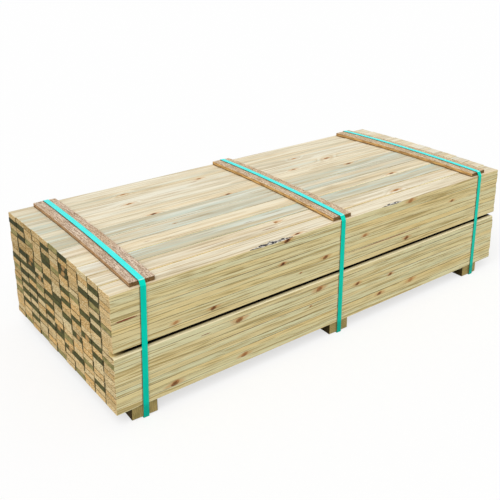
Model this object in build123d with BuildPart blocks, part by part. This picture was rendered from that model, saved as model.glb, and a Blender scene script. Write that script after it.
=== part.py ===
from build123d import *
import math
import os

# A strapped bundle of sawn fence palings. X runs along the palings with the near end at -X, the front is
# at -Y, and Z = 0 is the floor under the straps.

# Palings: sawn boards laid flat in columns, one on another.
paling_length = 1800.0
paling_width = 70.0
paling_thickness = 19.0
columns = 11
rows = 21
column_gap = 2.0
# How far a paling may sit to one side of its column, and past or short of the bundle's ends.
side_play = 0.7
end_play = 1.0
# How far the rows of one column may run above or below those of the next, as saw cuts differ a little.
level_drift = 3.0
# The straps pull the outer columns down, so the middle ones stand this much higher.
top_crown = 8.0
# The front paling of the middle row is narrow, which leaves a groove along the front of the bundle.
narrow_paling_width = 42.0
# Drift and play follow sines of a board's place, in radians for each column and row, so that every build
# scatters the boards in the same way.
drift_start = 0.7
drift_by_column = 2.4
side_by_column = 5.3
side_by_row = 2.3
end_by_column = 2.9
end_by_row = 4.7

# Bearers: timbers across the underside that leave room for a fork.
bearer_width = 90.0
bearer_height = 45.0
bearer_arris = 2.0
bearer_inset = 3.0

# Battens: thin rough boards across the top, one under each strap and bent over the crown.
batten_width = 85.0
batten_thickness = 15.0
batten_inset = 9.0
batten_seat = 0.1

# Straps: flat plastic bands, pulled tight round a batten, the palings and a bearer.
strap_width = 19.0
strap_thickness = 0.9
strap_clearance = 0.2
near_strap_inset = 124.0
middle_strap_offset = 22.0
far_strap_inset = 129.0
# How far each strap is turned seen from above, and how far it leans from its foot along X, in degrees.
strap_turn = {"near": -2.2, "middle": -2.0, "far": 0.8}
strap_lean = {"near": 1.5, "middle": 0.4, "far": 0.0}

# Where each bearer and batten lies beside its strap, along X, and how far each is turned, in degrees.
bearer_offset = {"near": -15.0, "middle": -7.0, "far": -4.0}
bearer_turn = {"near": -2.0, "middle": -1.2, "far": 0.2}
batten_offset = {"near": -1.0, "middle": -2.0, "far": -7.0}
batten_turn = {"near": -1.6, "middle": -1.4, "far": 2.1}

# Levels and places that follow from the sizes above.
column_pitch = paling_width + column_gap
pack_width = columns * paling_width + (columns - 1) * column_gap
pack_front = -pack_width / 2
bearer_bottom = strap_thickness + strap_clearance
pack_bottom = bearer_bottom + bearer_height
pack_top = pack_bottom + rows * paling_thickness
bearer_length = pack_width - 2 * bearer_inset
batten_length = pack_width - 2 * batten_inset
middle_row = rows // 2
strap_station = {
    "near": near_strap_inset - paling_length / 2,
    "middle": middle_strap_offset,
    "far": paling_length / 2 - far_strap_inset,
}

os.makedirs("parts", exist_ok=True)


def crown_level(from_middle):
    """Height of the crowned top above the bundle's top edges, at a distance from its middle line."""
    return top_crown * (1 - (2 * from_middle / pack_width) ** 2)


def row_level(column, row):
    """Underside of a row in one column, drifting a little on the way up to the crown over its outer edge."""
    column_middle = (column - (columns - 1) / 2) * column_pitch
    rise = crown_level(abs(column_middle) + paling_width / 2) / rows
    share_of_drift = math.sin(math.pi * row / rows) * math.sin(drift_start + drift_by_column * column)
    return pack_bottom + row * (paling_thickness + rise) + level_drift * share_of_drift


# Palings, one node for each layer across the bundle. The boards rest on those below and don't touch
# their neighbours in the layer.
for row in range(rows):
    with BuildPart() as layer:
        for column in range(columns):
            narrow = column == 0 and row == middle_row
            width = narrow_paling_width if narrow else paling_width
            column_back = pack_front + column * column_pitch + paling_width
            side_shift = side_play * math.sin(side_by_column * column + side_by_row * row)
            end_shift = end_play * math.sin(end_by_column * column + end_by_row * row)
            underside = row_level(column, row)
            with BuildSketch(Plane.XY.offset(underside)):
                with Locations((end_shift, column_back - width / 2 + side_shift)):
                    Rectangle(paling_length, width)
            extrude(amount=row_level(column, row + 1) - underside)
    layer.part.label = f"paling_layer_{row + 1:02d}"
    export_step(layer.part, f"parts/{layer.part.label}.step")

# Bearers, sawn square with eased long arrises, laid by hand and nearly as long as the bundle is wide.
for place, station in strap_station.items():
    with BuildPart() as bearer:
        with BuildSketch(Plane.XY.offset(bearer_bottom)):
            with Locations(Location((station + bearer_offset[place], 0), bearer_turn[place])):
                Rectangle(bearer_width, bearer_length)
        extrude(amount=bearer_height)
        chamfer(bearer.edges().group_by(SortBy.LENGTH)[-1], bearer_arris)
    bearer.part.label = f"bearer_{place}"
    export_step(bearer.part, f"parts/{bearer.part.label}.step")

# Battens, laid by hand and so a little out of square, and bent down over the crown by their straps. Their
# ends are just inside the bundle's faces.
batten_half = batten_length / 2
batten_end_bottom = pack_top + crown_level(batten_half) + batten_seat
batten_middle_bottom = pack_top + crown_level(0) + batten_seat
for place, station in strap_station.items():
    batten_plane = Plane.YZ.offset(station + batten_offset[place]).rotated((0, 0, batten_turn[place]))
    with BuildPart() as batten:
        with BuildSketch(batten_plane):
            with BuildLine():
                underside = ThreePointArc(
                    (-batten_half, batten_end_bottom),
                    (0, batten_middle_bottom),
                    (batten_half, batten_end_bottom),
                )
                upper_side = ThreePointArc(
                    (-batten_half, batten_end_bottom + batten_thickness),
                    (0, batten_middle_bottom + batten_thickness),
                    (batten_half, batten_end_bottom + batten_thickness),
                )
                Line(underside @ 0, upper_side @ 0)
                Line(underside @ 1, upper_side @ 1)
            make_face()
        extrude(amount=batten_width / 2, both=True)
    batten.part.label = f"top_batten_{place}"
    export_step(batten.part, f"parts/{batten.part.label}.step")

# Straps. A tight band follows the bent batten, goes straight from its end to the top edge of the palings,
# down the face, and under the bearer. A strap turned out of square stands off the faces at one edge, and a
# strap that leans goes down the faces aslant, while its band still lies flat on all of them.
for place, station in strap_station.items():
    turn = math.radians(strap_turn[place])
    lean = math.radians(strap_lean[place])
    # Both turned and leaning, it also comes nearer to one face on its way up, and so is given that much room.
    stand_off = (strap_width / 2 + pack_top * abs(math.tan(lean))) * abs(math.sin(turn))
    strap_side = (pack_width / 2 + side_play) / math.cos(turn) + stand_off
    batten_skew = math.radians(abs(batten_turn[place] - strap_turn[place]))
    batten_reach = batten_half * math.cos(batten_skew) + batten_width / 2 * math.sin(batten_skew)
    # The strap's plane leans about the top of the palings, so heights along it are a little longer.
    foot = station - pack_top * math.tan(lean)
    strap_plane = Plane.YZ.offset(foot).rotated((0, strap_lean[place], strap_turn[place]), Extrinsic.XYZ)
    batten_end_top = (batten_end_bottom + batten_thickness) / math.cos(lean)
    batten_middle_top = (batten_middle_bottom + batten_thickness) / math.cos(lean)
    paling_edge = pack_top / math.cos(lean)
    bearer_underside = bearer_bottom / math.cos(lean)
    with BuildPart() as strap:
        with BuildSketch(strap_plane):
            with BuildLine():
                ThreePointArc(
                    (-batten_reach, batten_end_top),
                    (0, batten_middle_top),
                    (batten_reach, batten_end_top),
                )
                Polyline(
                    (batten_reach, batten_end_top),
                    (strap_side, paling_edge),
                    (strap_side, bearer_underside),
                    (-strap_side, bearer_underside),
                    (-strap_side, paling_edge),
                    (-batten_reach, batten_end_top),
                )
            bundle_section = make_face()
            offset(amount=strap_clearance + strap_thickness, kind=Kind.ARC)
            offset(bundle_section, amount=strap_clearance, kind=Kind.ARC, mode=Mode.SUBTRACT)
        extrude(amount=strap_width / 2, dir=(math.cos(turn), math.sin(turn), 0), both=True)
    strap.part.label = f"strap_{place}"
    export_step(strap.part, f"parts/{strap.part.label}.step")
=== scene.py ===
import math
import random
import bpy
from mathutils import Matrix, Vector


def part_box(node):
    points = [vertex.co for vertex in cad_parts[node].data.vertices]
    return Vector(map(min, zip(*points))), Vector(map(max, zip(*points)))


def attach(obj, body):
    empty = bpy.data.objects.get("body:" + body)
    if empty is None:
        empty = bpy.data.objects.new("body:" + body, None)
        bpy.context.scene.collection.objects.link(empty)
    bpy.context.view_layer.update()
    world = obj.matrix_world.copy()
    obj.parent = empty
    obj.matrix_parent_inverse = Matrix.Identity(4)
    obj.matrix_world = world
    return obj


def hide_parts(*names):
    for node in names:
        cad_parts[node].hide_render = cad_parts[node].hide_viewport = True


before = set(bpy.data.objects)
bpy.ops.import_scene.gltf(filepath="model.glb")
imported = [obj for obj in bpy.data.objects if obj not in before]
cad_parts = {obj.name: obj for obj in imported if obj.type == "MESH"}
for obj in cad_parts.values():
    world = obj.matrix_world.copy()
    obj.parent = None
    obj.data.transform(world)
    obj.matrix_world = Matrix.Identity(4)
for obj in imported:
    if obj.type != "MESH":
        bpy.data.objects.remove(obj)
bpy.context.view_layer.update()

from types import SimpleNamespace

import bpy
import numpy as np
from mathutils import Quaternion, Vector

# Bearers: three sawn pine timbers across the underside, set apart so that a fork goes in between.
# They are rough on all sides with eased long arrises, and their ends show the growth rings.

places = ("near", "middle", "far")
bearer_arris = 0.002
bearer_cuts = {"x": 5, "y": 40, "z": 3}
bearer_roughness = 0.0010
bearer_wear_size = 0.03
bearer_pith = (0.03, 0, 0.06)
bearer_ring_width = 0.006
# A face of a bearer is a side where at least this much of its normal runs along X.
bearer_side_share = 0.6
# Points this near to the front or back of a piece belong to its end.
end_depth = 0.005
# An edge runs along an axis where this share of it does, and is sharp past a turn in degrees.
along_share = 0.99
sharp_turn = 60


def points_of(node):
    """The corner points of a CAD node, each once."""
    points = np.array([point.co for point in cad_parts[node].data.vertices])
    return np.unique(points.round(5), axis=0)


def lie_of(node):
    """How a piece lies across the bundle: its middle, the angle it is turned by, and its own size."""
    points = points_of(node)
    front = points[points[:, 1] < points[:, 1].min() + end_depth].mean(0)
    back = points[points[:, 1] > points[:, 1].max() - end_depth].mean(0)
    turn = math.atan2(front[0] - back[0], back[1] - front[1])
    cosine, sine = math.cos(turn), math.sin(turn)
    middle = (points.min(0) + points.max(0)) / 2
    x, y, z = (points - middle).T
    own_points = np.array((x * cosine + y * sine, y * cosine - x * sine, z))
    return Vector(middle), turn, Vector(np.ptp(own_points, axis=1))


def select_edges_along(piece, axis):
    """Selects only the edges of a box-like piece that run along one axis, and goes into edit mode."""
    index = "xyz".index(axis)
    bpy.ops.object.mode_set(mode="EDIT")
    bpy.ops.mesh.select_mode(type="EDGE")
    bpy.ops.mesh.select_all(action="DESELECT")
    bpy.ops.object.mode_set(mode="OBJECT")
    points = piece.data.vertices
    for edge in piece.data.edges:
        run = points[edge.vertices[1]].co - points[edge.vertices[0]].co
        edge.select = abs(run[index]) > along_share * run.length
    bpy.ops.object.mode_set(mode="EDIT")


def sawn_timber(name, size, cuts, arris):
    """A board or timber about the origin: a box cut into short lengths, with its sharp edges eased."""
    bpy.ops.object.select_all(action="DESELECT")
    bpy.ops.mesh.primitive_cube_add(size=1, scale=size)
    bpy.ops.object.transform_apply(location=False, rotation=False, scale=True)
    timber = bpy.context.object
    timber.name = name
    for axis, number in cuts.items():
        select_edges_along(timber, axis)
        bpy.ops.mesh.subdivide(number_cuts=number)
        bpy.ops.object.mode_set(mode="OBJECT")
    bpy.ops.object.mode_set(mode="EDIT")
    bpy.ops.mesh.select_mode(type="EDGE")
    bpy.ops.mesh.select_all(action="DESELECT")
    bpy.ops.mesh.edges_select_sharp(sharpness=math.radians(sharp_turn))
    bpy.ops.mesh.bevel(offset=arris, segments=1, affect="EDGES")
    bpy.ops.object.mode_set(mode="OBJECT")
    return timber


def roughen(piece, depth, wear_size):
    """Wears a piece inwards by up to a depth, as a saw and handling leave it."""
    clouds = bpy.data.textures.new(piece.name + "_wear", "CLOUDS")
    clouds.noise_scale = wear_size
    wear = piece.modifiers.new("wear", "DISPLACE")
    wear.texture = clouds
    wear.texture_coords = "LOCAL"
    wear.strength = depth
    wear.mid_level = 1.0
    bpy.context.view_layer.objects.active = piece
    bpy.ops.object.modifier_apply(modifier=wear.name)


def set_values(piece, name, values, domain="FACE"):
    """Gives each face or point of a piece a value that its material reads."""
    piece.data.attributes.new(name, "FLOAT", domain).data.foreach_set("value", values)


def set_in_place(piece, middle, turn):
    """Moves and turns a piece made about the origin, and puts that place into its mesh."""
    piece.location = middle
    piece.rotation_euler = (0, 0, turn)
    bpy.ops.object.select_all(action="DESELECT")
    piece.select_set(True)
    bpy.context.view_layer.objects.active = piece
    bpy.ops.object.transform_apply(location=True, rotation=True, scale=True)


def add_node(tree, kind, inputs=(), **settings):
    """Adds a shader node, sets its options, and fills its inputs with values or links."""
    made = tree.nodes.new(kind)
    for name, value in settings.items():
        setattr(made, name, value)
    for key, value in dict(inputs).items():
        if isinstance(value, bpy.types.NodeSocket):
            tree.links.new(value, made.inputs[key])
        else:
            made.inputs[key].default_value = value
    return made


def maths(tree, operation, *values, clamp=False):
    """A Math node's result."""
    made = add_node(tree, "ShaderNodeMath", enumerate(values), operation=operation, use_clamp=clamp)
    return made.outputs[0]


def times(tree, first, second):
    """One value times another, such as two masks that both have to show."""
    return maths(tree, "MULTIPLY", first, second)


def vector_maths(tree, operation, *values):
    """A Vector Math node's result: a number for a length or a dot product, and else a vector."""
    made = add_node(tree, "ShaderNodeVectorMath", enumerate(values), operation=operation)
    return made.outputs["Value" if operation in ("LENGTH", "DOT_PRODUCT") else "Vector"]


def object_place(tree):
    """Place on a piece, in metres from the frame's origin."""
    return add_node(tree, "ShaderNodeTexCoord").outputs["Object"]


def own_value(tree, name, output="Fac"):
    """A value that a piece's mesh carries."""
    return add_node(tree, "ShaderNodeAttribute", attribute_name=name).outputs[output]


def streaks(tree, place, stretch, detail=2.0):
    """Noise from 0 to 1 that is drawn out along the grain: stretch is its pitch per metre on each axis."""
    stretched = vector_maths(tree, "MULTIPLY", place, stretch)
    inputs = {"Vector": stretched, "Scale": 1.0, "Detail": detail}
    return add_node(tree, "ShaderNodeTexNoise", inputs).outputs["Fac"]


def step_up(tree, value, low, high):
    """A smooth rise from 0 to 1 as the value goes from low to high."""
    inputs = {"Value": value, "From Min": low, "From Max": high}
    return add_node(tree, "ShaderNodeMapRange", inputs, interpolation_type="SMOOTHSTEP").outputs[0]


def linear(shown):
    """A colour as seen on a screen, 0 to 255, in the linear values that shaders take."""
    shares = [v / 255 for v in shown]
    return tuple(v / 12.92 if v < 0.04045 else ((v + 0.055) / 1.055) ** 2.4 for v in shares) + (1.0,)


def blended(tree, amount, first, second, blend_type="MIX"):
    """One colour laid over another by an amount from 0 to 1. Each is a link, or as seen on a screen."""
    first, second = (linear(tone) if isinstance(tone, tuple) else tone for tone in (first, second))
    inputs = {0: amount, 6: first, 7: second}
    mixer = add_node(tree, "ShaderNodeMix", inputs, data_type="RGBA", blend_type=blend_type)
    return mixer.outputs[2]


def laid_over(tree, strength, mask, first, second):
    """One colour laid over another where a mask shows, at most by a strength."""
    return blended(tree, times(tree, mask, strength), first, second)


def new_material(name, roughness, specular):
    """A material with an empty Principled shader, its tree and that shader."""
    material = bpy.data.materials.new(name)
    material.use_nodes = True
    shader = material.node_tree.nodes["Principled BSDF"]
    shader.inputs["Roughness"].default_value = roughness
    shader.inputs["Specular IOR Level"].default_value = specular
    return material, material.node_tree, shader


def set_finish(tree, shader, tone, height, strength, distance):
    """Gives a shader its colour, and a bump from a height."""
    tree.links.new(tone, shader.inputs["Base Color"])
    bump = add_node(tree, "ShaderNodeBump", {"Height": height, "Strength": strength, "Distance": distance})
    tree.links.new(bump.outputs[0], shader.inputs["Normal"])


def bearer_pine():
    """Rough olive-brown pine with rings round a pith outside the timber, grain along Y, and sides painted
    darker as painted shade under the bundle.
    """
    material, tree, shader = new_material("bearer_pine", 0.85, 0.15)
    place = object_place(tree)
    wander = streaks(tree, place, (25, 2.0, 25))
    from_pith = vector_maths(tree, "MULTIPLY_ADD", place, (1, 0, 1), bearer_pith)
    radius = maths(tree, "MULTIPLY_ADD", wander, 0.02, vector_maths(tree, "LENGTH", from_pith))
    rings = maths(tree, "FRACT", maths(tree, "DIVIDE", radius, bearer_ring_width))
    fibre = streaks(tree, place, (420, 14, 420), 3.0)
    stain = streaks(tree, place, (30, 6, 30), 3.0)
    rings = step_up(tree, rings, 0.3, 0.9)
    wood = laid_over(tree, 0.55, rings, (192, 172, 112), (140, 115, 64))
    wood = laid_over(tree, 0.7, step_up(tree, stain, 0.45, 0.7), wood, (150, 136, 82))
    wood = laid_over(tree, 0.5, step_up(tree, fibre, 0.5, 0.8), wood, (108, 88, 52))
    # The sides are painted darker, as painted shade under the bundle.
    wood = blended(tree, own_value(tree, "sawn_side"), wood, (94, 88, 70), "MULTIPLY")
    set_finish(tree, shader, wood, fibre, 0.6, 0.0015)
    return material


bearer_wood = bearer_pine()
for place in places:
    middle, turn, size = lie_of(f"bearer_{place}")
    bearer = sawn_timber(f"bearer_timber_{place}", size, bearer_cuts, bearer_arris)
    roughen(bearer, bearer_roughness, bearer_wear_size)
    sides = [float(abs(polygon.normal.x) > bearer_side_share) for polygon in bearer.data.polygons]
    set_values(bearer, "sawn_side", sides)
    set_in_place(bearer, middle, turn)
    bearer.data.materials.append(bearer_wood)
    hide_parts(f"bearer_{place}")
    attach(bearer, "root")

# Palings: sawn pine boards, laid flat in layers. Some were cut again after treatment and show tan ends,
# and the others keep dark green ends. Faces are cream to grey green, with knots, streaks and saw marks.

# Arrises are worn in waves along a board, in radians, out of step between front and back.
paling_arris = 0.0005
arris_wear = 0.0012
wear_waves = 14
wear_lag = 3
widest_swing = 6.3
# Boards are drawn from a pattern of size 1 with this bevel, and with finer cross cuts where they show.
pattern_arris = 0.002
usual_cuts = 3
fine_cuts = 119
# Boards of the top layer are drawn this much wider on each side, so that their joints look tight.
top_spread = 0.0006
paling_seed = 7
layer_names = sorted(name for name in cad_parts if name.startswith("paling_layer_"))
bottom_layer, top_layer = layer_names[0], layer_names[-1]
near_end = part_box(top_layer)[0].x
front_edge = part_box(top_layer)[0].y
back_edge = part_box(top_layer)[1].y
# Ends at the near end: column from the back, first and last row from the top, and step between them.
green_runs = [
    (1, 2, 9, 7), (2, 2, 4, 2), (2, 7, 17, 2), (3, 9, 19, 2), (4, 13, 17, 4), (5, 2, 5, 3), (5, 4, 8, 4),
    (5, 11, 17, 2), (6, 10, 11, 1), (6, 17, 17, 1), (7, 1, 7, 6), (7, 9, 12, 3), (8, 11, 11, 1),
    (8, 18, 18, 1), (9, 4, 4, 1), (9, 8, 8, 1), (10, 2, 4, 2), (10, 7, 9, 2), (10, 12, 14, 2),
    (10, 19, 19, 1),
]
sage_runs = [
    (1, 4, 4, 1), (1, 11, 16, 5), (1, 14, 14, 1), (2, 21, 21, 1), (3, 4, 4, 1), (3, 13, 13, 1), (4, 7, 11, 4),
    (4, 21, 21, 1), (6, 1, 5, 4), (6, 21, 21, 1), (7, 16, 16, 1), (8, 7, 21, 14), (9, 17, 17, 1),
    (10, 5, 5, 1), (11, 7, 13, 6),
]
# Green ends with a tan heart.
heart_runs = [
    (3, 7, 8, 1), (4, 9, 9, 1), (6, 16, 16, 1), (7, 3, 4, 1), (7, 18, 18, 1), (8, 14, 14, 1), (9, 12, 12, 1),
]
# How green an end is, and the share of green ends at the far end.
tan_tone, sage_tone, green_tone, heart_tone = 0.0, 0.5, 1.0, 2.0
far_green_share = 0.3
# Warmth and treatment stain of the boards on show: on the top from the back, and on the front from the top.
top_tones = [
    (0.5, 0.05), (0.6, 0.15), (0.3, 0.15), (0.5, 0.1), (0.7, 0.0), (0.1, 0.42), (0.1, 0.38), (0.7, 0.0),
    (0.0, 0.48), (0.4, 0.0), (0.5, 0.0),
]
front_tones = [
    (0.5, 0.15), (0.2, 0.4), (0.8, 0.0), (0.5, 0.15), (0.3, 0.35), (0.6, 0.1), (0.95, 0.0), (0.3, 0.3),
    (0.4, 0.2), (0.6, 0.1), (0.3, 0.2), (0.2, 0.25), (0.2, 0.3), (0.3, 0.2), (0.7, 0.05), (0.2, 0.25),
    (0.2, 0.35), (0.1, 0.5), (0.85, 0.0), (0.4, 0.2), (0.35, 0.2),
]
# The other boards are stained by one of these amounts.
inner_stains = (0.0, 0.1, 0.2, 0.45)
# Boards on the top that are stained more or less at their near end, counted from the back, and by how much.
stained_starts = {2: 0.2, 3: 0.2, 4: 0.3, 5: 0.3, 6: 0.1, 7: -0.3, 9: -0.45}
# All of them are stained less at their far end.
far_stain = -0.4
stain_run = 0.10
# Knots on the top: metres from the near end and from the back edge, radius, and darkness.
top_knots = [
    (0.41, 0.1, 0.006, 0.3), (0.74, 0.125, 0.006, 0.3), (0.38, 0.205, 0.006, 0.4),
    (0.4, 0.35, 0.007, 0.9), (0.725, 0.35, 0.006, 0.94), (0.415, 0.47, 0.003, 0.4),
    (0.7, 0.665, 0.007, 0.3), (1.21, 0.165, 0.006, 0.1), (1.11, 0.28, 0.006, 0.4),
    (1.325, 0.25, 0.008, 0.4), (1.345, 0.365, 0.007, 0.8), (1.4, 0.56, 0.007, 0.6),
    (1.275, 0.7, 0.008, 0.4), (1.435, 0.69, 0.005, 0.3), (0.705, 0.78, 0.006, 0.8),
]
# Knots on the front: metres from the near end and below the top edge, radius, and darkness.
front_knots = [
    (0.655, 0.005, 0.009, 0.9), (1.26, 0.01, 0.009, 0.2), (0.635, 0.09, 0.007, 0.9),
    (0.83, 0.115, 0.008, 0.6), (0.715, 0.145, 0.003, 0.5), (0.355, 0.155, 0.008, 0.7),
    (0.215, 0.16, 0.006, 0.1), (1.02, 0.09, 0.007, 0.2), (1.25, 0.16, 0.008, 0.7),
    (1.51, 0.07, 0.006, 0.6), (0.455, 0.23, 0.01, 0.5), (0.805, 0.23, 0.01, 0.4),
    (0.765, 0.29, 0.003, 0.4), (0.995, 0.275, 0.007, 0.7), (1.17, 0.285, 0.007, 0.7),
    (1.115, 0.355, 0.008, 0.6), (1.29, 0.35, 0.009, 0.1), (0.205, 0.37, 0.01, 0.6),
    (0.475, 0.375, 0.009, 0.3),
]
# Knots are longer along the board and lean over, and those on the front keep off its arrises.
top_knot_stretch = 2.1
front_knot_stretch = 1.5
knot_tilt = 0.4
knot_margin = 0.8
# Thin brown streaks on the top: start and end in metres from the near end, place from the back, half width.
top_streaks = [
    (0.6, 0.655, 0.61, 0.0022), (0.61, 0.69, 0.695, 0.0036), (0.245, 0.285, 0.54, 0.002),
    (0.3, 0.56, 0.685, 0.0012), (1.39, 1.49, 0.69, 0.0016), (0.68, 0.72, 0.15, 0.002),
]
# Resin streaks on the front: start and end in metres from the near end, place below the top, half height.
resin_streaks = [(0.0, 0.1, 0.09, 0.003), (0.3, 0.345, 0.24, 0.0016), (0.91, 1.38, 0.135, 0.0019)]
# Wane, where bark was left on an arris: start and end in metres from the near end, and how far it goes
# across the wide face and down the edge.
top_wane = [(0.5, 0.665), (1.12, 1.205)]
bottom_wane = [(0.06, 0.105)]
wane_reach = 0.022
wane_drop = 0.005
# Joints on the top that show as dark lines past the stain at the near end, counted from the back.
lined_joints = (4, 7, 9)
# The groove is painted dark as painted shade over a run from the near end, behind a lip painted pale as
# painted light, with a worn arris.
groove_shade_fade = 0.055
groove_lip = 0.013
lip_wear = 0.0018
# Painted shadow beside a strap, from the strap's middle line to its edge and to where the painted shadow
# ends.
strap_thickness = 0.0009
strap_half_width = 0.0095
paling_strap_shadow_reach = 0.0135
paling_ring_width = 0.0065
# Kinds of mark. Knots have a kind below 1, which is how dark they are.
bark_kind, resin_kind, end_kind, shade_kind, streak_kind = 1.0, 2.0, 3.0, 4.0, 5.0
no_mark = (9.0, 9.0, 0.0)
# Kinds of face along a board: wide face, arris in a joint with dirt and painted shade, arris between outer
# edges, outer edge, and side in a gap painted dark as painted shade. Upper faces below the top layer get the
# joint's dirt and painted shade on front boards, and the gap's painted shade on the others.
wide_face, joint_arris, edge_arris, outer_edge, shaded_gap_side = 0.0, 0.5, 0.75, 1.0, 2.0
# A face looks along an axis where at least this much of its normal does, and else it is an arris.
facing_share = 0.9


def boards_of(node):
    """Lowest and highest corner of each board of a layer, from the front board to the back one."""
    points = points_of(node)
    sides = np.unique(points[:, 1])
    for front, back in zip(sides[0::2], sides[1::2]):
        own = points[(points[:, 1] > front - 1e-4) & (points[:, 1] < back + 1e-4)]
        yield own.min(0), own.max(0)


def front_board_width(node):
    """Width of the front board of a layer."""
    low, high = next(boards_of(node))
    return high[1] - low[1]


def lean_of(node):
    """How far a strap leans along X for each metre that it goes up."""
    points = points_of(node)
    bottom, top = points[:, 2].min(), points[:, 2].max()
    foot = points[points[:, 2] < bottom + strap_thickness]
    crest = points[points[:, 2] > top - strap_thickness]
    drift = (crest[:, 0].min() + crest[:, 0].max() - foot[:, 0].min() - foot[:, 0].max()) / 2
    return drift / (top - bottom)


def strap_line_of(node):
    """The line that a strap keeps to all round: how far off the origin, and the direction across it."""
    middle, turn, size = lie_of(node)
    across = Vector((math.cos(turn), math.sin(turn), -lean_of(node)))
    return across.dot(middle), across


def beside_strap(tree, place, strap_line, reach):
    """A mask for the painted shadow beside a strap: 1 on the near side of a strap's edge, falling to 0 at a
    reach from the strap's middle line.
    """
    off_origin, across = strap_line
    from_strap = maths(tree, "SUBTRACT", vector_maths(tree, "DOT_PRODUCT", place, across), off_origin)
    beside = step_up(tree, from_strap, -reach, -strap_half_width)
    return times(tree, beside, maths(tree, "LESS_THAN", from_strap, 0.0))


def split_up(tree, vector):
    """The three values of a vector."""
    return add_node(tree, "ShaderNodeSeparateXYZ", {0: vector}).outputs


def board_values(tree):
    """What a board's mesh tells its material: place in the log, tones, how a face is cut, and marks."""
    own = SimpleNamespace(log=own_value(tree, "log", "Vector"))
    own.warmth, own.stain, own.depth = split_up(tree, own_value(tree, "board", "Vector"))
    own.end, own.green_end, own.edge = split_up(tree, own_value(tree, "cut", "Vector"))
    own.mark_u, own.mark_v, own.mark_kind = split_up(tree, own_value(tree, "mark", "Vector"))
    own.is_edge = maths(tree, "COMPARE", own.edge, 0.9, 0.2)
    own.is_joint = maths(tree, "COMPARE", own.edge, 0.6, 0.2)
    own.is_knot = maths(tree, "LESS_THAN", own.mark_kind, 0.95)

    # Distance from the nearest mark in radii of the mark, with a ragged rim.
    own.flat_mark = add_node(tree, "ShaderNodeCombineXYZ", {0: own.mark_u, 1: own.mark_v}).outputs[0]
    ragged = maths(tree, "MULTIPLY_ADD", streaks(tree, own.log, (160, 260, 260)), 0.7, -0.35)
    own.clear = maths(tree, "ADD", vector_maths(tree, "LENGTH", own.flat_mark), ragged)
    return own


def is_marked(tree, own, kind):
    """1 on faces whose mark is of a kind, and else 0."""
    return maths(tree, "COMPARE", own.mark_kind, kind, 0.01)


def add_grain(tree, own):
    """Growth rings round a board's pith, bent round knots, and fibres along the board."""
    around = times(tree, step_up(tree, own.clear, 5.0, 0.5), own.is_knot)
    wander = streaks(tree, own.log, (1.3, 9, 9))
    own.radius = vector_maths(tree, "LENGTH", vector_maths(tree, "MULTIPLY", own.log, (0, 1, 1)))
    bent = maths(tree, "MULTIPLY_ADD", wander, 0.022, own.radius)
    bent = maths(tree, "MULTIPLY_ADD", around, 0.012, bent)
    rings = maths(tree, "FRACT", maths(tree, "DIVIDE", bent, paling_ring_width))
    darkening = step_up(tree, rings, 0.25, 0.85)
    own.late_wood = times(tree, darkening, step_up(tree, rings, 1.0, 0.92))

    # The grain sways a little, so that streaks run out at a board's edges.
    sway = streaks(tree, own.log, (6, 3, 3), 1.0)
    own.grain = vector_maths(tree, "MULTIPLY_ADD", sway, (0, 0.007, 0.007), own.log)
    own.fibre = streaks(tree, own.grain, (12, 480, 480), 3.0)
    own.thread = streaks(tree, own.grain, (3.4, 190, 190), 3.0)
    own.warm_patch = streaks(tree, own.grain, (1.2, 44, 44), 1.0)


def face_tone(tree, own):
    """Cream pine with broad stain from treatment, warm streaks of heartwood, rings and fibres."""
    band = streaks(tree, own.grain, (1.8, 55, 55))
    patch = streaks(tree, own.grain, (1.8, 34, 34), 3.0)
    wood = blended(tree, own.warmth, (248, 243, 226), (248, 235, 202))
    stained = step_up(tree, maths(tree, "ADD", patch, own.stain), 0.5, 1.15)
    stained = times(tree, stained, maths(tree, "MULTIPLY_ADD", own.is_edge, -0.35, 1.0))
    wood = blended(tree, stained, wood, (203, 215, 201))
    wood = laid_over(tree, 0.42, step_up(tree, own.warm_patch, 0.5, 0.68), wood, (232, 202, 150))
    wood = laid_over(tree, 0.36, own.late_wood, wood, (200, 174, 128))
    wood = laid_over(tree, 0.5, step_up(tree, band, 0.48, 0.68), wood, (192, 178, 144))
    wood = laid_over(tree, 0.7, step_up(tree, own.thread, 0.52, 0.72), wood, (174, 150, 110))
    return laid_over(tree, 0.36, step_up(tree, own.fibre, 0.5, 0.8), wood, (168, 148, 108))


def edge_tone(tree, own, wood):
    """Narrow edges, more olive with closer grain, differing in depth, and with a painted shadow beside the
    straps.
    """
    wood = laid_over(tree, 0.7, own.is_edge, wood, (255, 249, 213))
    tint = blended(tree, own.warmth, (248, 253, 240), (255, 243, 208))
    tint = laid_over(tree, 0.5, own.depth, tint, (240, 229, 194))
    tint = laid_over(tree, 0.4, step_up(tree, own.warm_patch, 0.46, 0.62), tint, (255, 230, 184))
    tint = laid_over(tree, 0.9, step_up(tree, own.thread, 0.51, 0.66), tint, (200, 181, 136))
    tint = laid_over(tree, 0.7, step_up(tree, own.fibre, 0.51, 0.68), tint, (218, 203, 166))
    wood = blended(tree, own.is_edge, wood, tint, "MULTIPLY")

    # The sides that face a gap are painted dark all over, as painted shade in the gap.
    wood = blended(tree, maths(tree, "GREATER_THAN", own.edge, 1.5), wood, (70, 66, 38))
    on_bundle = object_place(tree)
    # A painted shadow on the near side of each strap.
    for place in places:
        beside = beside_strap(tree, on_bundle, strap_line_of(f"strap_{place}"), paling_strap_shadow_reach)
        beside = times(tree, beside, own.is_edge)
        wood = laid_over(tree, 0.8, beside, wood, (82, 64, 42))
    return wood


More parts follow.
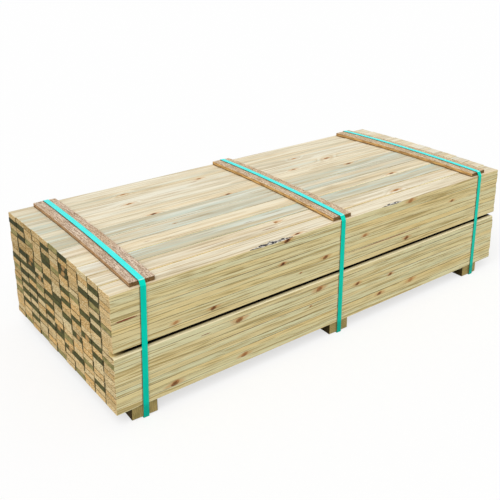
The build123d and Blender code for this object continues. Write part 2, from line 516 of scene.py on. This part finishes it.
def end_tone(tree, own):
    """Sawn ends, tan with ring lines, or left sage to dark green by the treatment, some round a tan heart."""
    chatter = streaks(tree, own.log, (4, 50, 330), 3.0)
    mottle = streaks(tree, own.log, (4, 50, 130), 3.0)
    speckle = streaks(tree, own.log, (4, 120, 420), 3.0)
    tan = blended(tree, own.warmth, (255, 238, 188), (255, 206, 130))
    tan = blended(tree, own.depth, tan, (172, 144, 88))
    tan = laid_over(tree, 0.4, own.late_wood, tan, (194, 148, 86))
    tan = laid_over(tree, 0.6, step_up(tree, chatter, 0.45, 0.68), tan, (196, 158, 94))
    tan = laid_over(tree, 0.65, step_up(tree, speckle, 0.53, 0.66), tan, (255, 240, 196))
    tan = laid_over(tree, 0.6, step_up(tree, speckle, 0.47, 0.34), tan, (116, 86, 44))
    sage = blended(tree, step_up(tree, mottle, 0.35, 0.7), (176, 162, 106), (128, 124, 76))
    moss = blended(tree, own.depth, (98, 98, 56), (58, 60, 34))
    moss = laid_over(tree, 0.7, step_up(tree, mottle, 0.4, 0.65), moss, (50, 52, 30))
    moss = laid_over(tree, 0.5, step_up(tree, chatter, 0.55, 0.75), moss, (140, 130, 84))
    to_sage = maths(tree, "MULTIPLY", own.green_end, 2.0, clamp=True)
    to_moss = maths(tree, "MULTIPLY_ADD", own.green_end, 2.0, -1.0, clamp=True)
    wood = blended(tree, to_moss, blended(tree, to_sage, tan, sage), moss)
    has_heart = maths(tree, "GREATER_THAN", own.green_end, 1.5)
    heart_radius = maths(tree, "MULTIPLY_ADD", mottle, 0.03, own.radius)
    heart = times(tree, step_up(tree, heart_radius, 0.034, 0.020), has_heart)
    wood = laid_over(tree, 0.8, heart, wood, blended(tree, 0.55, tan, (204, 142, 78)))

    # Each end is painted darker beside the gaps, as painted shade in the gaps.
    rim_start = maths(tree, "MULTIPLY_ADD", mottle, -0.14, 1.0)
    past_rim = maths(tree, "SUBTRACT", maths(tree, "ABSOLUTE", own.mark_u), rim_start)
    rim = times(tree, step_up(tree, past_rim, -0.03, 0.03), is_marked(tree, own, end_kind))
    return laid_over(tree, 0.75, rim, wood, (66, 64, 38))


def joint_tone(tree, own, wood):
    """The arrises between boards, dark in places with dirt and painted shade, and painted darker at the ends
    as painted shade.
    """
    broken = step_up(tree, streaks(tree, own.log, (3.0, 20, 20)), 0.35, 0.6)
    dirt_and_shade = times(tree, maths(tree, "MULTIPLY_ADD", broken, 0.65, 0.35), own.is_joint)
    dirt_and_shade = times(tree, dirt_and_shade, maths(tree, "MULTIPLY_ADD", own.is_edge, 0.2, 0.6))
    wood = blended(tree, dirt_and_shade, wood, (104, 86, 50))
    # The arrises at the ends are painted darker, as painted shade against the light they catch.
    shaded_end_joint = times(tree, own.is_joint, own.end)
    return laid_over(tree, 0.6, shaded_end_joint, wood, (78, 64, 36))


def knot_tone(tree, own, wood):
    """Knots with an orange tail along the grain, a brown core, a dark crescent and a dark heart."""
    tail = vector_maths(tree, "LENGTH", vector_maths(tree, "MULTIPLY", own.flat_mark, (0.42, 0.95, 0)))
    tail = maths(tree, "ADD", tail, maths(tree, "MULTIPLY_ADD", own.thread, 1.6, -0.8))
    tail = times(tree, step_up(tree, tail, 1.3, 0.5), own.is_knot)
    wood = laid_over(tree, 0.6, tail, wood, (216, 160, 98))
    core = times(tree, step_up(tree, own.clear, 1.15, 0.7), own.is_knot)
    brown = blended(tree, own.mark_kind, (206, 150, 94), (168, 106, 60))
    below = step_up(tree, own.mark_v, 0.2, -0.4)
    crescent = times(tree, step_up(tree, own.clear, 0.35, 0.8), below)
    crescent = times(tree, crescent, maths(tree, "MULTIPLY", own.mark_kind, 1.4, clamp=True))
    brown = blended(tree, crescent, brown, (84, 46, 26))
    wood = laid_over(tree, 0.9, core, wood, brown)
    heart = times(tree, step_up(tree, own.clear, 0.65, 0.25), own.is_knot)
    return blended(tree, times(tree, heart, own.mark_kind), wood, (52, 28, 18))


def mark_tone(tree, own, wood):
    """Bark left on an arris, resin, and brown streaks."""
    flecks = step_up(tree, streaks(tree, own.log, (70, 300, 300), 3.0), 0.44, 0.52)
    bark = blended(tree, flecks, (228, 222, 208), (66, 64, 68))
    wood = blended(tree, is_marked(tree, own, bark_kind), wood, bark)
    resin = step_up(tree, own.clear, 1.0, 0.6)
    resin = times(tree, resin, is_marked(tree, own, resin_kind))
    wood = laid_over(tree, 0.95, resin, wood, (136, 56, 30))
    streak = step_up(tree, own.clear, 1.0, 0.4)
    streak = times(tree, streak, is_marked(tree, own, streak_kind))
    return laid_over(tree, 0.8, streak, wood, (150, 104, 70))


def groove_tone(tree, own, wood):
    """The groove, painted dark as painted shade behind a lip painted pale as painted light, and painted
    lighter towards the open near end.
    """
    behind_lip = step_up(tree, own.mark_v, 0.8, 1.3)
    # Painted shade in the groove, fading out towards the near end; the lip and the groove's near end are
    # painted pale as painted light.
    painted_groove_shade = times(tree, step_up(tree, own.mark_u, 0.0, 1.0), behind_lip)
    groove = blended(tree, behind_lip, (246, 234, 192), (232, 208, 146))
    groove = blended(tree, painted_groove_shade, groove, (10, 8, 3))
    return blended(tree, is_marked(tree, own, shade_kind), wood, groove)


def paling_pine():
    """Sawn pine with the grain, stain, knots and ends of each board. Saw marks run across the faces."""
    material, tree, shader = new_material("paling_pine", 0.8, 0.15)
    own = board_values(tree)
    add_grain(tree, own)
    wood = edge_tone(tree, own, face_tone(tree, own))
    wood = blended(tree, own.end, wood, end_tone(tree, own))
    for laid_on in (joint_tone, knot_tone, mark_tone, groove_tone):
        wood = laid_on(tree, own, wood)
    saw_marks = streaks(tree, own.log, (380, 6, 6), 1.0)
    height = maths(tree, "MULTIPLY_ADD", saw_marks, 0.03, own.fibre)
    set_finish(tree, shader, wood, height, 0.35, 0.0008)
    return material


def board_pattern(name, cuts):
    """A board of size 1 with short bevels and cross cuts, and the values that the paling's material reads."""
    pattern = sawn_timber(name, (1, 1, 1), {"x": cuts}, pattern_arris)
    pattern.data.attributes.new("log", "FLOAT_VECTOR", "POINT")
    pattern.data.attributes.new("board", "FLOAT_VECTOR", "FACE")
    pattern.data.attributes.new("cut", "FLOAT_VECTOR", "FACE")
    pattern.data.attributes.new("mark", "FLOAT_VECTOR", "CORNER")
    pattern.data.materials.append(paling_wood)
    return pattern


def copy_of(pattern):
    """A copy of a pattern, with its own mesh."""
    copied = pattern.copy()
    copied.data = pattern.data.copy()
    bpy.context.scene.collection.objects.link(copied)
    return copied


def set_vectors(mesh, name, vectors):
    """Fills one of the values that the paling's material reads."""
    mesh.attributes[name].data.foreach_set("vector", vectors.astype(np.float32).ravel())


def spots(runs):
    """Column and row of each end in a list of runs."""
    return {(column, row) for column, first, last, step in runs for row in range(first, last + 1, step)}


def wane_at(x, stretches):
    """How deep the wane is at each place along a board, from 0 to 1: ragged, and deepest past its middle."""
    depth = np.zeros(len(x))
    for start, finish in stretches:
        share = (x - near_end - start) / (finish - start)
        ragged = 0.65 + 0.35 * np.sin(61 * share) * np.sin(23 * share + 1)
        swell = np.sin(np.pi * share.clip(0, 1)) ** 0.6 * (0.5 + 0.5 * share)
        depth = np.maximum(depth, np.where((share > 0) & (share < 1), swell * ragged, 0))
    return depth


def worn_points(mesh, half, middle, layer, column):
    """A board's points with its arrises worn and waned, and how deep the wane is at each point."""
    outline = np.array([point.co for point in mesh.vertices])
    side = np.sign(outline)
    bevelled = np.isclose(np.abs(outline), 0.5 - pattern_arris, atol=1e-4)
    swing = draws.uniform(0, widest_swing)
    waves = 0.5 + 0.5 * np.sin(wear_waves * outline[:, 0] + swing + wear_lag * side[:, 1])
    wear = arris_wear * draws.random() * waves
    inset = np.repeat((paling_arris + wear)[:, None], 3, axis=1)
    wane = np.zeros(len(outline))
    if column == 0 and layer in (bottom_layer, top_layer):
        up = 1 if layer == top_layer else -1
        stretches = top_wane if layer == top_layer else bottom_wane
        on_arris = (side[:, 1] < 0) & (side[:, 2] == up) & (bevelled[:, 1] | bevelled[:, 2])
        wane = np.where(on_arris, wane_at(middle[0] + 2 * half[0] * outline[:, 0], stretches), 0)
        inset[:, 1] += wane_reach * wane
        inset[:, 2] += wane_drop * wane
    if column == 0 and layer == lip_layer:
        inset[(side[:, 1] < 0) & (side[:, 2] > 0)] += lip_wear
    return middle + np.where(bevelled, side * (half - inset), outline * 2 * half), wane


def pith_of(spot):
    """Place of a board's middle in its log, from the pith. Ends with a heart are near it."""
    pith_side = draws.choice((-1, 1)) * draws.uniform(0.03, 0.11)
    pith = np.array([draws.uniform(0, 40), draws.uniform(-0.03, 0.03), pith_side])
    if spot in heart_ends:
        pith[1:] = 0.3 * pith[1], 0.05 * pith[2]
    return pith


def tones_of(mesh, spot, layer, column):
    """Warmth, treatment stain and depth for each face of a board."""
    from_back, from_top = spot
    warmth, stain = draws.random(), draws.choice(inner_stains)
    if layer == top_layer:
        warmth, stain = top_tones[from_back - 1]
    elif column == 0:
        warmth, stain = front_tones[from_top - 1]
    depth = 0.5 * draws.random()
    if column:
        # Ends are darker towards the top and the back.
        depth += 0.3 * draws.random() + 0.5
        depth -= 0.5 * from_top / len(layer_names) + 0.6 * from_back / columns
        depth = min(max(depth, 0), 1)
    tones = np.tile((warmth, stain, depth), (len(mesh.polygons), 1))
    if layer == top_layer:
        from_end = np.array([polygon.center.x for polygon in mesh.polygons]) - near_end
        tones[:, 1] += stained_starts.get(from_back, 0) * (from_end < stain_run)
        tones[:, 1] += far_stain * (from_end > from_end.max() - stain_run)
    return tones


def end_tones_of(spot):
    """How green a board's near and far ends are."""
    near_tone = green_tone if spot in green_ends else sage_tone if spot in sage_ends else tan_tone
    if spot in heart_ends:
        near_tone = heart_tone
    return near_tone, green_tone if draws.random() < far_green_share else tan_tone


def streak_mark(axis, start, finish, level, half_width, kind):
    """A streak as a mark: axis that its face looks along, place along and across it, radii, and kind."""
    half_run = (finish - start) / 2
    return axis, near_end + start + half_run, level, half_run, half_width, kind


def marks_on(low, high, layer, column):
    """Marks on a board: axis that their face looks along, place along and across it, radii, and kind."""
    listed = []
    if layer == top_layer:
        for along, from_back, size, darkness in top_knots:
            level = back_edge - from_back
            listed.append((2, near_end + along, level, top_knot_stretch * size, size, darkness))
        for start, finish, from_back, half_width in top_streaks:
            listed.append(streak_mark(2, start, finish, back_edge - from_back, half_width, streak_kind))
    if column == 0:
        for along, below, size, darkness in front_knots:
            level = front_top - below
            listed.append((1, near_end + along, level, front_knot_stretch * size, size, darkness))
        for start, finish, below, half_height in resin_streaks:
            listed.append(streak_mark(1, start, finish, front_top - below, half_height, resin_kind))
    found = []
    for axis, x, level, along, across, kind in listed:
        lowest, highest = low[3 - axis], high[3 - axis]
        if lowest <= level <= highest:
            margin = knot_margin * across if axis == 1 and kind < bark_kind else 0
            level = min(max(level, lowest + margin), highest - margin)
            found.append((axis, x, level, along, across, kind))
    return found


def is_lip(normal, layer, column):
    """Whether a face is the worn arris of the lip under the groove."""
    return column == 0 and layer == lip_layer and normal.z > 0.3 and max(map(abs, normal)) < facing_share


def kind_of_face(normal, place, layer, column):
    """Kind of a face along a board, from where it looks and the place of its corners."""
    facing = int(np.argmax(np.abs(normal)))
    outermost = normal.y < 0 if column == 0 else normal.y > 0 and column == columns - 1
    if is_lip(normal, layer, column):
        return wide_face
    if abs(normal[facing]) < facing_share:
        joint = columns - column if normal.y < 0 else columns - column - 1
        lined = joint in lined_joints and place[0, 0] >= near_end + stain_run
        if layer == top_layer and normal.z > 0 and not lined:
            return wide_face
        return edge_arris if outermost else joint_arris
    if facing == 1:
        return outer_edge if outermost or layer == top_layer else shaded_gap_side
    if normal.z > 0 and layer != top_layer:
        return shaded_gap_side if column else joint_arris
    return wide_face


def marks_of_face(normal, place, wane, layer, column, board_marks):
    """Place in a mark and its kind, for each corner of a face along a board."""
    facing = int(np.argmax(np.abs(normal)))
    if wane.max() > 0.1 and abs(normal[facing]) < 0.98:
        return (0, 0, bark_kind)
    if is_lip(normal, layer, column):
        return (0, 0, shade_kind)
    if not (normal.z > 0 if facing == 2 else normal.y < 0):
        return no_mark
    if column == 0 and (layer, facing) in groove_faces:
        fades = (place[:, 0] - near_end) / groove_shade_fade
        depths = (place[:, 1] - front_edge) / groove_lip
        return [(u, v, shade_kind) for u, v in zip(fades, depths)]
    nearby = [mark for mark in board_marks if mark[0] == facing]
    if not nearby:
        return no_mark
    nearest = min(nearby, key=lambda mark: abs(mark[1] - place[:, 0].mean()) - mark[3])
    axis, x, level, along, across, kind = nearest
    runs = (place[:, 0] - x) / along
    rises = (place[:, 3 - facing] - level) / across
    tilt = knot_tilt if kind < bark_kind else 0
    return [(u - tilt * v, v, kind) for u, v in zip(runs, rises)]


def cut_of_end(normal, tone, layer):
    """How a face at an end is cut: its tone, and whether it is an arris in a joint."""
    in_joint = abs(normal.z) > 0.3 and not (layer == top_layer and normal.z > 0)
    return 1, tone, joint_arris if in_joint else wide_face


def marks_of_end(across, column):
    """Place across an end from -1 to 1 for each corner, without the outer sides of the bundle."""
    across = across.clip(0 if column == 0 else -1, 0 if column == columns - 1 else 1)
    return [(share, 0, end_kind) for share in across]


draws = random.Random(paling_seed)
paling_wood = paling_pine()
usual_pattern = board_pattern("usual_pattern", usual_cuts)
fine_pattern = board_pattern("fine_pattern", fine_cuts)
green_ends, sage_ends, heart_ends = spots(green_runs), spots(sage_runs), spots(heart_runs)
columns = len(list(boards_of(top_layer)))
front_top = next(boards_of(top_layer))[1][2]
# The layer whose front board is narrow makes the groove, and the board under it shows as a lip.
groove_layer = min(layer_names, key=front_board_width)
lip_layer = layer_names[layer_names.index(groove_layer) - 1]
groove_faces = ((groove_layer, 1), (lip_layer, 2))

for layer_number, layer in enumerate(layer_names):
    boards = []
    for column, (low, high) in enumerate(boards_of(layer)):
        spot = (columns - column, len(layer_names) - layer_number)
        board = copy_of(fine_pattern if column == 0 or layer == top_layer else usual_pattern)
        boards.append(board)
        mesh = board.data
        half, middle = (high - low) / 2, (low + high) / 2
        if layer == top_layer:
            half = half + (0, top_spread, 0)
        points, wane = worn_points(mesh, half, middle, layer, column)
        mesh.vertices.foreach_set("co", points.astype(np.float32).ravel())
        set_vectors(mesh, "log", points - middle + pith_of(spot))
        set_vectors(mesh, "board", tones_of(mesh, spot, layer, column))
        near_tone, far_tone = end_tones_of(spot)
        board_marks = marks_on(low, high, layer, column)
        cuts = np.zeros((len(mesh.polygons), 3))
        marks = np.zeros((len(mesh.loops), 3))
        for polygon in mesh.polygons:
            normal = polygon.normal
            corners = list(polygon.vertices)
            place = points[corners]
            if abs(normal.x) > 0.5:
                cuts[polygon.index] = cut_of_end(normal, near_tone if normal.x < 0 else far_tone, layer)
                face_marks = marks_of_end(((place - middle) / half)[:, 1], column)
            else:
                cuts[polygon.index, 2] = kind_of_face(normal, place, layer, column)
                face_marks = marks_of_face(normal, place, wane[corners], layer, column, board_marks)
            marks[polygon.loop_indices] = face_marks
        set_vectors(mesh, "cut", cuts)
        set_vectors(mesh, "mark", marks)
    bpy.ops.object.select_all(action="DESELECT")
    for board in boards:
        board.select_set(True)
    bpy.context.view_layer.objects.active = boards[0]
    bpy.ops.object.join()
    palings = boards[0]
    palings.name = "palings_" + layer[-2:]
    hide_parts(layer)
    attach(palings, "root")
bpy.data.objects.remove(usual_pattern)
bpy.data.objects.remove(fine_pattern)

# Battens: thin rough hardwood boards laid by hand across the top, one under each strap and bent over it.
# They are brown and weathered, with open pores along the grain and crisp sawn arrises.

batten_arris = 0.0007
batten_cuts = {"x": 7, "y": 70}
batten_roughness = 0.0008
batten_wear_size = 0.02
# Painted shadow beside a strap on a batten reaches this far from the strap's middle line.
batten_strap_shadow_reach = 0.0155
# Kinds of face: the wide faces, the sawn sides, and the ends.
top_face, sawn_side, sawn_end = 0.0, 1.0, 2.0
# Colours of each batten's pale and dark grain, and of its sides.
batten_tones = {
    "near": ((242, 222, 198), (190, 162, 136), (200, 164, 124)),
    "middle": ((246, 224, 194), (192, 162, 126), (236, 192, 122)),
    "far": ((246, 226, 192), (194, 166, 126), (228, 184, 118)),
}


def weathered_hardwood(name, strap_line, pale, dark, sawn):
    """Weathered hardwood with short dark pores along Y, browner sawn sides painted darker along their foot as
    painted shade, and a painted shadow beside the strap.
    """
    material, tree, shader = new_material(name, 0.85, 0.15)
    place = object_place(tree)
    facing = own_value(tree, "sawn_side")
    pores = streaks(tree, place, (520, 110, 520), 3.0)
    fibre = streaks(tree, place, (360, 20, 360), 3.0)
    patch = streaks(tree, place, (22, 6, 22), 3.0)
    wood = blended(tree, step_up(tree, fibre, 0.35, 0.65), pale, dark)
    wood = laid_over(tree, 0.5, step_up(tree, patch, 0.45, 0.7), wood, (208, 174, 134))
    wood = laid_over(tree, 0.85, step_up(tree, pores, 0.5, 0.62), wood, (120, 90, 68))
    # Painted shadow on the near side of the strap.
    beside = beside_strap(tree, place, strap_line, batten_strap_shadow_reach)
    wood = laid_over(tree, 0.9, beside, wood, (70, 52, 40))
    side = blended(tree, step_up(tree, fibre, 0.35, 0.7), sawn, (148, 108, 68))
    # The sides are painted darker along their lower edge, as painted shade where the batten lies on the
    # palings.
    painted_shade_low = step_up(tree, own_value(tree, "lift"), 0.42, 0.12)
    side = laid_over(tree, 0.65, painted_shade_low, side, (72, 52, 34))
    wood = blended(tree, maths(tree, "GREATER_THAN", facing, 0.5), wood, side)
    end = blended(tree, step_up(tree, pores, 0.4, 0.6), (150, 116, 72), (96, 72, 44))
    wood = blended(tree, maths(tree, "GREATER_THAN", facing, 1.5), wood, end)
    set_finish(tree, shader, wood, maths(tree, "SUBTRACT", fibre, pores), 0.5, 0.0010)
    return material


def crown_of(node):
    """How much higher a bent batten's middle is than its ends, and its thickness."""
    points = points_of(node)
    end_heights = points[points[:, 1] < points[:, 1].min() + end_depth, 2]
    thickness = end_heights.max() - end_heights.min()
    return points[:, 2].max() - end_heights.max(), thickness


for place in places:
    node = f"top_batten_{place}"
    middle, turn, size = lie_of(node)
    crown, thickness = crown_of(node)
    batten = sawn_timber(f"batten_{place}", (size.x, size.y, thickness), batten_cuts, batten_arris)
    roughen(batten, batten_roughness, batten_wear_size)
    sides = []
    for polygon in batten.data.polygons:
        on_side = sawn_side if abs(polygon.normal.x) > facing_share else top_face
        sides.append(sawn_end if abs(polygon.normal.y) > facing_share else on_side)
    set_values(batten, "sawn_side", sides)
    set_values(batten, "lift", [float(point.co.z > 0) for point in batten.data.vertices], "POINT")
    for point in batten.data.vertices:
        point.co.z += crown * (0.5 - (2 * point.co.y / size.y) ** 2)
    set_in_place(batten, middle, turn)
    strap_line = strap_line_of(f"strap_{place}")
    batten_wood = weathered_hardwood(f"{place}_batten_wood", strap_line, *batten_tones[place])
    batten.data.materials.append(batten_wood)
    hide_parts(node)
    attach(batten, "root")

# Straps: flat teal plastic bands, embossed all over, pulled tight round a batten, the palings and a bearer.
# Each follows the bent batten, goes straight to the top edge of the palings, then down and under.

strap_bend = 0.0012
bend_steps = 4
top_steps = 24
# How far the band's outer face passes a batten's end, and the top edge of the palings.
batten_room = 0.001
edge_room = 0.0003
emboss_pitch = 2400.0
# Kinds of face: the run over the top, painted lighter as painted sheen; a fold at a batten's end, whitened as
# stress whitening and a painted glint; the runs pulled tight round the rest, painted darker as painted shade;
# and the band's thin rims, painted dark as painted shade.
top_kind, fold_kind, tight_kind, rim_kind = 0.0, 1.0, 2.0, 3.0


def teal_strap():
    """Semi-gloss teal plastic with a fine embossed diamond grid, a top run painted lighter as painted sheen,
    tight runs painted darker as painted shade and darker still towards the floor as painted shade, folds
    whitened as stress whitening and a painted glint, and rims painted dark as painted shade.
    """
    material, tree, shader = new_material("teal_strap", 0.24, 0.07)
    place = object_place(tree)
    x, y, z = split_up(tree, place)
    along = maths(tree, "ADD", y, z)
    one_way = times(tree, maths(tree, "ADD", along, x), emboss_pitch)
    other_way = times(tree, maths(tree, "SUBTRACT", along, x), emboss_pitch)
    emboss = times(tree, maths(tree, "SINE", one_way), maths(tree, "SINE", other_way))
    scuff = step_up(tree, streaks(tree, place, (60, 12, 12), 3.0), 0.4, 0.8)
    # The top run is painted lighter and more cyan, as painted sheen; the tight runs are darker and greener,
    # as painted shade.
    painted_sheen_top_run = blended(tree, scuff, (66, 246, 238), (76, 250, 242))
    painted_shade_tight_run = blended(tree, scuff, (0, 229, 200), (0, 219, 190))
    # Painted shade: the tight runs get darker towards the floor, most over the bearer under the bundle.
    painted_shade_tight_run = laid_over(tree, 0.35, step_up(tree, z, 0.3, 0.05), painted_shade_tight_run, (0, 176, 150))
    painted_shade_tight_run = laid_over(tree, 0.75, step_up(tree, z, 0.055, 0.035), painted_shade_tight_run, (0, 176, 150))
    run = own_value(tree, "run")
    teal = blended(tree, maths(tree, "COMPARE", run, tight_kind, 0.1), painted_sheen_top_run, painted_shade_tight_run)
    # The folds are whitened, as stress whitening and a painted glint.
    teal = laid_over(tree, 0.75, maths(tree, "COMPARE", run, fold_kind, 0.1), teal, (220, 250, 246))
    # The rims are painted dark teal, as painted shade along the strap's edges.
    teal = blended(tree, maths(tree, "COMPARE", run, rim_kind, 0.1), teal, (0, 96, 84))
    set_finish(tree, shader, teal, emboss, 0.2, 0.0002)
    return material


def strap_band(name, path, half_width, batten_reach):
    """A flat closed band about the origin, along a path of its outer face, with rounded bends."""
    bpy.ops.object.select_all(action="DESELECT")
    bpy.ops.mesh.primitive_plane_add(size=1)
    band = bpy.context.object
    band.name = name
    bpy.ops.object.mode_set(mode="EDIT")
    bpy.ops.mesh.select_mode(type="VERT")
    bpy.ops.mesh.select_all(action="SELECT")
    bpy.ops.mesh.merge(type="CENTER")
    bpy.ops.transform.translate(value=(-half_width, *path[0]))
    for (y, z), (next_y, next_z) in zip(path, path[1:] + path[:1]):
        bpy.ops.mesh.extrude_region_move(TRANSFORM_OT_translate={"value": (0, next_y - y, next_z - z)})
    bpy.ops.mesh.select_all(action="SELECT")
    bpy.ops.mesh.remove_doubles(threshold=0.00001)
    bpy.ops.mesh.extrude_region_move(TRANSFORM_OT_translate={"value": (2 * half_width, 0, 0)})
    bpy.ops.mesh.select_all(action="SELECT")
    bpy.ops.mesh.normals_make_consistent(inside=False)
    select_edges_along(band, "x")
    bpy.ops.object.mode_set(mode="OBJECT")
    points = band.data.vertices
    for edge in band.data.edges:
        edge.select = edge.select and abs(points[edge.vertices[0]].co.y) > batten_reach - 0.0001
    bpy.ops.object.mode_set(mode="EDIT")
    bpy.ops.mesh.bevel(offset=strap_bend, segments=bend_steps, affect="EDGES")
    bpy.ops.object.mode_set(mode="OBJECT")
    wall = band.modifiers.new("wall", "SOLIDIFY")
    wall.thickness = strap_thickness
    wall.offset = -1.0
    bpy.ops.object.modifier_apply(modifier=wall.name)
    return band


strap_plastic = teal_strap()
for place in places:
    middle, turn, size = lie_of(f"strap_{place}")
    lean = lean_of(f"strap_{place}")
    crown, thickness = crown_of(f"top_batten_{place}")
    batten_reach = lie_of(f"top_batten_{place}")[2].y / 2 + batten_room
    half_width, half_run, half_height = size / 2
    half_width -= abs(lean) * half_height
    edge_height = front_top - middle.z + edge_room

    # The band's outer face in its own axes, from the front end of the batten over the top and round.
    steps = [batten_reach * (2 * step / top_steps - 1) for step in range(top_steps + 1)]
    path = [(y, half_height - crown * (y / batten_reach) ** 2) for y in steps]
    path += [(half_run, edge_height), (half_run, -half_height)]
    path += [(-half_run, -half_height), (-half_run, edge_height)]
    strap = strap_band(f"strap_band_{place}", path, half_width, batten_reach)
    kinds = []
    for polygon in strap.data.polygons:
        past_batten = abs(polygon.center.y) - batten_reach
        kind = fold_kind if abs(past_batten) < strap_bend else top_kind
        if past_batten >= strap_bend or polygon.center.z < 0:
            kind = tight_kind
        kinds.append(rim_kind if abs(polygon.normal.x) > facing_share else kind)
    set_values(strap, "run", kinds)
    for point in strap.data.vertices:
        point.co.x += lean * point.co.z
    set_in_place(strap, middle, turn)
    strap.data.materials.append(strap_plastic)
    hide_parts(f"strap_{place}")
    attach(strap, "root")

# Stage: a floor and a sky that look white, and one broad soft light from above on the near side. The
# camera stands where a fit to the outline of the bundle in the photo puts it.

floor_size = 80.0
floor_grey = 0.45
white = (1, 1, 1, 1)
white_share = 0.65
sky_light = 0.5
sun_light = 1.9
sun_spread = 50
to_sun = Vector((-0.47, -0.38, 0.80))
# The camera's angles in degrees and distance in metres, and its focal length and axis in pixels.
photo_azimuth, photo_elevation, photo_roll, photo_distance = -37.031, 18.383, -0.148, 3.852
photo_target = Vector((0.496, 0.795, 0.2461))
photo_focal = 744.3
photo_side = 500
photo_axis_row = 162.3


def seen_directly(tree):
    """1 where the camera sees a surface, also in a shine or through glass, and 0 for light that it sheds."""
    path = add_node(tree, "ShaderNodeLightPath").outputs
    seen = maths(tree, "MAXIMUM", path["Is Camera Ray"], path["Is Glossy Ray"])
    return maths(tree, "MAXIMUM", seen, path["Is Transmission Ray"])


bpy.ops.object.select_all(action="DESELECT")
bpy.ops.mesh.primitive_plane_add(size=floor_size)
floor = bpy.context.object
floor.name = "floor"
floor_paint, floor_tree, floor_shader = new_material("floor_paint", 0.9, 0.0)
seen = seen_directly(floor_tree)
paint = maths(floor_tree, "MULTIPLY_ADD", seen, 1.0 - floor_grey, floor_grey)
floor_tree.links.new(paint, floor_shader.inputs["Base Color"])
glow = add_node(floor_tree, "ShaderNodeEmission", {"Color": white, "Strength": 1.0})
glow_share = times(floor_tree, seen, white_share)
floor_mix = {0: glow_share, 1: floor_shader.outputs[0], 2: glow.outputs[0]}
surface = add_node(floor_tree, "ShaderNodeMixShader", floor_mix)
floor_output = floor_tree.nodes["Material Output"]
floor_tree.links.new(surface.outputs[0], floor_output.inputs["Surface"])
floor.data.materials.append(floor_paint)

world = bpy.data.worlds.new("studio")
bpy.context.scene.world = world
world.use_nodes = True
sky = world.node_tree.nodes["Background"]
sky.inputs["Color"].default_value = white
sky_seen = seen_directly(world.node_tree)
sky_strength = maths(world.node_tree, "MULTIPLY_ADD", sky_seen, 1.0 - sky_light, sky_light)
world.node_tree.links.new(sky_strength, sky.inputs["Strength"])

sun_data = bpy.data.lights.new("soft_sun", "SUN")
sun_data.energy = sun_light
sun_data.angle = math.radians(sun_spread)
sun = bpy.data.objects.new("soft_sun", sun_data)
sun.rotation_euler = (-to_sun).to_track_quat("-Z", "Y").to_euler()
bpy.context.scene.collection.objects.link(sun)

around, above = math.radians(photo_azimuth), math.radians(photo_elevation)
back = Vector((math.sin(around) * math.cos(above), -math.cos(around) * math.cos(above), math.sin(above)))
camera_data = bpy.data.cameras.new("photo_camera")
camera = bpy.data.objects.new("photo_camera", camera_data)
camera.location = photo_target + back * photo_distance
level_view = (-back).to_track_quat("-Z", "Y")
camera.rotation_euler = (level_view @ Quaternion((0, 0, 1), math.radians(photo_roll))).to_euler()
camera_data.lens = camera_data.sensor_width * photo_focal / photo_side
camera_data.shift_y = (photo_axis_row - photo_side / 2) / photo_side
bpy.context.scene.collection.objects.link(camera)
bpy.context.scene.camera = camera
bpy.context.scene.view_settings.view_transform = "Standard"
